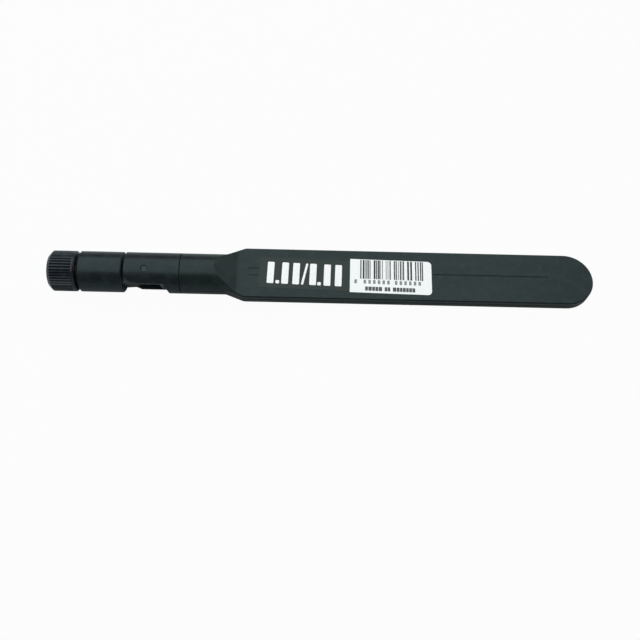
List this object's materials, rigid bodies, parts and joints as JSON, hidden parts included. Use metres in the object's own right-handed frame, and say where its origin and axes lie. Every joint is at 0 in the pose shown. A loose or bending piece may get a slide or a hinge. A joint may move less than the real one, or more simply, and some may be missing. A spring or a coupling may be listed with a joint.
{
  "type": "wifi antenna",
  "caption": "Flat dual-band paddle antenna with a tilting knuckle hinge and a knurled reverse-polarity coaxial plug.",
  "frame": {"origin": "centre of the coupling nut's mouth, on the plug's axis", "axes": "+X along the straight antenna from the mouth to the tip, +Z out of the printed face of the paddle, +Y across the paddle"},
  "size_m": [0.195, 0.0198, 0.0144],
  "materials": {
    "moulded_black_plastic": "satin, fine moulded texture",
    "nickel_plated_brass": "turned, nickel plated",
    "gold_plated_brass": "turned, gold plated",
    "spring_steel": "rolled wire",
    "silicone_rubber": "moulded, matte",
    "white_insulator": "machined, waxy",
    "brown_cable_jacket": "extruded, satin",
    "board_laminate": "pressed laminate with lacquer",
    "copper": "etched foil",
    "solder": "flowed, bright",
    "dark_film": "printed film, semi-gloss",
    "white_paper": "coated label paper, matte"
  },
  "bodies": {
    "base": {"base_barrel": "moulded_black_plastic", "connector_body": "gold_plated_brass", "retaining_ring": "spring_steel", "sealing_gasket": "silicone_rubber", "connector_insulator": "white_insulator", "centre_contact": "gold_plated_brass", "crimp_ferrule": "nickel_plated_brass", "coax_cable": "brown_cable_jacket"},
    "coupling": {"knurled_knob": "moulded_black_plastic", "coupling_nut": "nickel_plated_brass"},
    "arm": {"knuckle_fork": "moulded_black_plastic", "hinge_pin_upper": "moulded_black_plastic", "hinge_pin_lower": "moulded_black_plastic", "front_shell": "moulded_black_plastic", "rear_shell": "moulded_black_plastic", "antenna_board": "board_laminate", "radiator_copper": "copper", "coax_core": "white_insulator", "ground_solder": "solder", "feed_solder": "solder", "band_label": "dark_film", "code_label": "white_paper"}
  },
  "joints": [
    {"name": "nut_spin", "type": "hinge", "parent": "base", "child": "coupling", "pos_m": [0, 0, 0], "axis": [1, 0, 0], "continuous": true},
    {"name": "arm_tilt", "type": "hinge", "parent": "base", "child": "arm", "pos_m": [0.0343, 0, 0], "axis": [0, 0.2672, -0.9636], "range_deg": [0, 90], "deforming": ["coax_cable"]}
  ]
}
